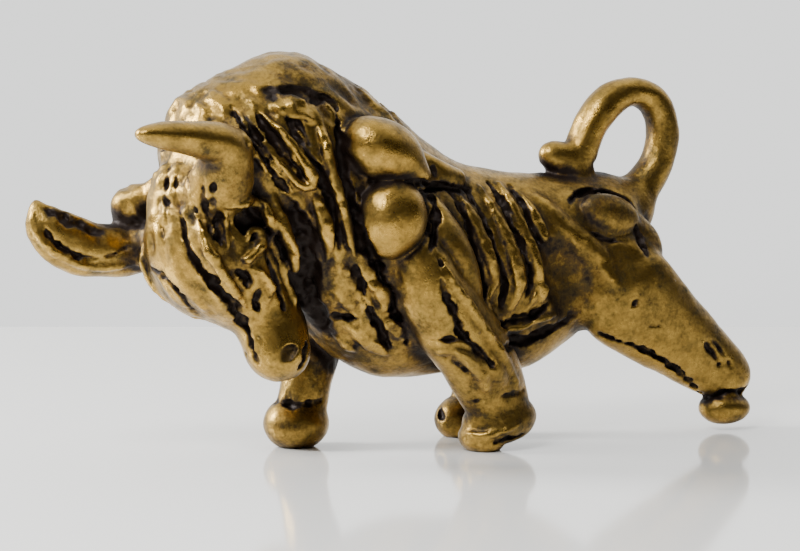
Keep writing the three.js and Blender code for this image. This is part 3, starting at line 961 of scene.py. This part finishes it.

# %% Where the brass is darkened: patina left thick, painted shade and a painted dark reflection
# Dark spots, each a pixel, a radius in millimetres and a weight. The gap between the jaw and the neck gets patina and
# painted shade, the base of the near horn and the place under it brown film and painted shade, and the top of the hump
# olive film and a painted dark reflection. The other spots are patina in the grooves of the mane, chest, ribs, shoulder
# and hip, in the eye socket and along the far horn's upper edge, and darker places on the flank, belly, hip, far ear,
# far foreleg and hooves.
PATINA_AND_SHADE_SPOTS = [
    ((300, 220), 0.8, 1), ((304, 250), 0.8, 1), ((309, 280), 0.8, 1), ((315, 306), 0.8, 1), ((325, 326), 0.6, 1),
    ((290, 93), 0.7, 0.9), ((270, 92), 0.5, 0.9), ((316, 97), 0.5, 0.9), ((557, 250), 0.7, 0.6), ((565, 272), 0.8, 0.7),
    ((571, 298), 0.8, 0.9), ((560, 318), 0.7, 1), ((515, 342), 0.6, 1), ((540, 334), 0.6, 1), ((572, 180), 0.6, 1),
    ((596, 186), 0.6, 1), ((396, 332), 0.5, 0.7), ((368, 318), 0.4, 0.8), ((242, 220), 0.6, 1), ((142, 222), 0.5, 0.6),
    ((440, 184), 0.5, 1), ((462, 188), 0.5, 1), ((54, 213), 0.4, 1), ((68, 220), 0.4, 1), ((84, 227), 0.4, 1),
    ((102, 232), 0.4, 1), ((120, 224), 0.4, 1), ((350, 228), 0.5, 0.8), ((370, 262), 0.5, 0.8), ((388, 300), 0.5, 0.8),
    ((605, 200), 1.4, 0.45), ((645, 240), 0.8, 0.6), ((295, 425), 1.6, 0.35), ((305, 385), 1.2, 0.35),
    ((340, 85), 1.8, 0.4), ((305, 72), 1.4, 0.35), ((210, 172), 1.5, 0.4), ((238, 182), 0.9, 0.5), ((485, 225), 2.4, 0.25),
    ((610, 262), 1.8, 0.3), ((415, 358), 1.6, 0.3), ((450, 415), 1.2, 0.7), ((470, 407), 0.5, 0.7),
]
patina_and_shade = np.zeros(len(points))
for pixel, radius, weight in PATINA_AND_SHADE_SPOTS:
    near = seen([pixel])[0]
    spots = [near] if pixel[0] < 325 and pixel[1] > 190 else [near, far_side([near])[0]]
    for spot in spots:
        away = np.linalg.norm(points - spot, axis=1) / radius
        patina_and_shade = np.maximum(patina_and_shade, weight * np.exp(-0.7 * away**2))
# The inner side of the tail loop, which faces the ring's hole, gets painted shade.
LOOP_MIDDLE = np.array([16.0, 0, 19.0])
to_middle = unit(LOOP_MIDDLE - points)
on_tail = np.clip((points[:, 2] - 16.2) / 0.8, 0, 1) * (points[:, 0] > 11)
patina_and_shade = np.maximum(patina_and_shade, 0.9 * on_tail * np.clip((to_middle * normals).sum(1) * 2.2 - 0.9, 0, 1))
print("darkened share:", round(float((patina_and_shade > 0.5).mean()), 2))

# %% Set the skin in the frame
centre_shift = (cad_low + cad_high) / 2 - (points.min(0) + points.max(0)) / 2
SHIFT = np.array([centre_shift[0], centre_shift[1], 0])
body.vertices.foreach_set("co", ((points + SHIFT) / 1000).ravel())
body.polygons.foreach_set("use_smooth", np.ones(len(body.polygons), bool))
for name, values in (("hollow", hollow), ("crest", crest), ("patina_and_shade", patina_and_shade), ("fleck", fleck)):
    body.attributes.new(name, "FLOAT", "POINT").data.foreach_set("value", values.astype(np.float32))
body.update()
bull = bpy.data.objects.new("bull_casting", body)
bpy.context.scene.collection.objects.link(bull)
print("shift to the frame:", np.round(SHIFT, 3), "mm; box", np.round(points.max(0) - points.min(0), 2))

# %% [markdown]
# ## Brass
# The casting is yellow brass, blackened all over and then buffed: metal shows gold on the high places and stays nearly
# black in the recesses, with an olive-brown film between. A few places are darkened further by painted shade and a
# painted dark reflection.

# %% Colours and the brass
def linear(hex_colour):
    """An sRGB hex colour as linear red, green, blue and alpha."""
    channels = [int(hex_colour[i:i + 2], 16) / 255 for i in (1, 3, 5)]
    return tuple(c / 12.92 if c <= 0.04045 else ((c + 0.055) / 1.055) ** 2.4 for c in channels) + (1,)


def brass_finish():
    material = bpy.data.materials.new("buffed brass over dark patina")
    material.use_nodes = True
    tree = material.node_tree
    tree.nodes.clear()
    hollow = add(tree, "ShaderNodeAttribute", attribute_name="hollow").outputs["Fac"]
    crest = add(tree, "ShaderNodeAttribute", attribute_name="crest").outputs["Fac"]
    patina_and_shade = add(tree, "ShaderNodeAttribute", attribute_name="patina_and_shade").outputs["Fac"]
    fleck = add(tree, "ShaderNodeAttribute", attribute_name="fleck").outputs["Fac"]
    place = add(tree, "ShaderNodeTexCoord").outputs["Object"]
    patch = add(tree, "ShaderNodeTexNoise", {"Vector": place, "Scale": 1000.0, "Detail": 6.0, "Roughness": 0.7})
    grain = add(tree, "ShaderNodeTexNoise", {"Vector": place, "Scale": 4500.0, "Detail": 3.0, "Roughness": 0.6})
    cloud = add(tree, "ShaderNodeTexNoise", {"Vector": place, "Scale": 230.0, "Detail": 4.0, "Roughness": 0.6})

    def spread(noise, low, high):
        limits = {"Value": noise.outputs["Fac"], "From Min": low, "From Max": high, "To Min": -1.0, "To Max": 1.0}
        return add(tree, "ShaderNodeMapRange", limits).outputs[0]

    def plus(value, factor, base):
        return add(tree, "ShaderNodeMath", {0: value, 1: factor, 2: base}, operation="MULTIPLY_ADD").outputs[0]

    level = plus(hollow, 1.0, 0.05)
    level = plus(spread(patch, 0.3, 0.7), 0.13, level)
    level = plus(spread(grain, 0.3, 0.7), 0.07, level)
    level = plus(spread(cloud, 0.3, 0.7), 0.09, level)
    # The dark spots darken the brass here: patina left thick, and in a few places painted shade and a painted dark
    # reflection.
    level = plus(patina_and_shade, 0.27, level)
    level = plus(crest, -0.24, level)
    level = plus(fleck, -0.07, level)
    film = add(tree, "ShaderNodeMapRange", {"Value": level, "From Min": -0.14, "From Max": 0.24}).outputs[0]
    dark = add(tree, "ShaderNodeMapRange", {"Value": level, "From Min": 0.18, "From Max": 0.46},
               interpolation_type="SMOOTHSTEP").outputs[0]
    metal = add(tree, "ShaderNodeMix", {"Factor": cloud.outputs["Fac"], "A": linear("#A67F34"), "B": linear("#C6A557")},
                data_type="RGBA").outputs[2]
    tint = add(tree, "ShaderNodeMix", {"Factor": patch.outputs["Fac"], "A": linear("#5E3D1A"), "B": linear("#4E4A28")},
               data_type="RGBA").outputs[2]
    browned = add(tree, "ShaderNodeMix", {"Factor": film, "A": metal, "B": tint}, data_type="RGBA").outputs[2]
    colour = add(tree, "ShaderNodeMix", {"Factor": dark, "A": browned, "B": linear("#1A100A")}, data_type="RGBA").outputs[2]
    metallic = add(tree, "ShaderNodeMapRange", {"Value": dark, "To Min": 1.0, "To Max": 0.4}).outputs[0]
    rough = add(tree, "ShaderNodeMapRange", {"Value": level, "From Min": -0.15, "From Max": 0.35,
                                            "To Min": 0.22, "To Max": 0.5}).outputs[0]
    sheen = add(tree, "ShaderNodeMapRange", {"Value": dark, "To Min": 0.5, "To Max": 0.2}).outputs[0]
    bump = add(tree, "ShaderNodeBump", {"Height": patch.outputs["Fac"], "Strength": 0.7, "Distance": 0.0001})
    fine = add(tree, "ShaderNodeBump", {"Height": grain.outputs["Fac"], "Strength": 0.3, "Distance": 0.00003,
                                        "Normal": bump.outputs[0]})
    shader = add(tree, "ShaderNodeBsdfPrincipled", {
        "Base Color": colour, "Metallic": metallic, "Roughness": rough, "Normal": fine.outputs[0],
        "Specular IOR Level": sheen,
    })
    add(tree, "ShaderNodeOutputMaterial", {"Surface": shader.outputs[0]})
    return material


body.materials.append(brass_finish())
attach(bull, "root")
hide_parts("bull")

# %% [markdown]
# ## The table, the light and the camera
# The bull stands on a pale glossy table before a pale wall. The light is a large soft window at the upper left with a
# weaker soft light above the camera. The camera stands where the photograph's did.

# %% Table
def plain_finish(name, colour, roughness):
    material = bpy.data.materials.new(name)
    material.use_nodes = True
    shader = material.node_tree.nodes["Principled BSDF"]
    shader.inputs["Base Color"].default_value = linear(colour)
    shader.inputs["Roughness"].default_value = roughness
    return material


def sheet(name, corners, material):
    mesh = bpy.data.meshes.new(name)
    mesh.from_pydata([Vector(c) / 1000 for c in corners], [], [(0, 1, 2, 3)])
    mesh.materials.append(material)
    made = bpy.data.objects.new(name, mesh)
    bpy.context.scene.collection.objects.link(made)
    return made


TABLE_BEHIND = 70
TABLE_BEFORE = -420
TABLE_SIDE = 420
depth_way = np.array([-BACK[0], -BACK[1], 0]) / math.hypot(BACK[0], BACK[1])
table_corners = [
    side * TABLE_SIDE * RIGHT + deep * depth_way
    for side, deep in ((-1, TABLE_BEFORE), (1, TABLE_BEFORE), (1, TABLE_BEHIND), (-1, TABLE_BEHIND))
]
sheet("table", table_corners, plain_finish("pale lacquer", "#DFDEDB", 0.09))

# %% Light
def window_light(name, place, size, power):
    light = bpy.data.lights.new(name, "AREA")
    light.shape = "RECTANGLE"
    light.size, light.size_y = size[0] / 1000, size[1] / 1000
    light.energy = power
    lamp = bpy.data.objects.new(name, light)
    lamp.location = Vector(place) / 1000
    lamp.rotation_mode = "QUATERNION"
    lamp.rotation_quaternion = (Vector((0, 0, 0.012)) - lamp.location).to_track_quat("-Z", "Y")
    bpy.context.scene.collection.objects.link(lamp)
    return lamp


def from_view(right, up, towards):
    """A place given as the camera sees it: to the right, up and towards it, in millimetres."""
    return RIGHT * right + UP * up + BACK * towards


window_light("window at the left", from_view(-210, 110, -5), (60, 90), 1.3)
window_light("soft light above the camera", from_view(-90, 170, 170), (90, 70), 0.65)
world = bpy.data.worlds.new("pale room")
world.use_nodes = True
sky = world.node_tree
way = add(sky, "ShaderNodeTexCoord").outputs["Generated"]
parts = add(sky, "ShaderNodeSeparateXYZ", {"Vector": way})
height = add(sky, "ShaderNodeMath", {0: parts.outputs["Z"], 1: 0.7, 2: 0.0}, operation="MULTIPLY_ADD").outputs[0]
open_way = add(sky, "ShaderNodeMath", {0: parts.outputs["Y"], 1: 0.8, 2: height}, operation="MULTIPLY_ADD").outputs[0]
pale = add(sky, "ShaderNodeMapRange", {"Value": open_way, "From Min": -0.1, "From Max": 0.6}).outputs[0]
tone = add(sky, "ShaderNodeMix", {"Factor": pale, "A": linear("#2B2723"), "B": linear("#F0F1F0")}, data_type="RGBA")
sky.links.new(tone.outputs[2], sky.nodes["Background"].inputs["Color"])
sky.nodes["Background"].inputs["Strength"].default_value = 1.75
bpy.context.scene.world = world

# %% Camera
SENSOR = 36.0
camera_data = bpy.data.cameras.new("photograph")
camera_data.sensor_width = SENSOR
camera_data.lens = SENSOR * CAMERA_DISTANCE / PIXEL_MM / PHOTO_SIZE[0]
camera_data.clip_start = 0.01
camera = bpy.data.objects.new("photograph", camera_data)
camera.location = Vector((CAMERA_AT + SHIFT) / 1000)
camera.rotation_mode = "QUATERNION"
camera.rotation_quaternion = Vector(BACK).to_track_quat("Z", "Y")
bpy.context.scene.collection.objects.link(camera)
bpy.context.scene.camera = camera
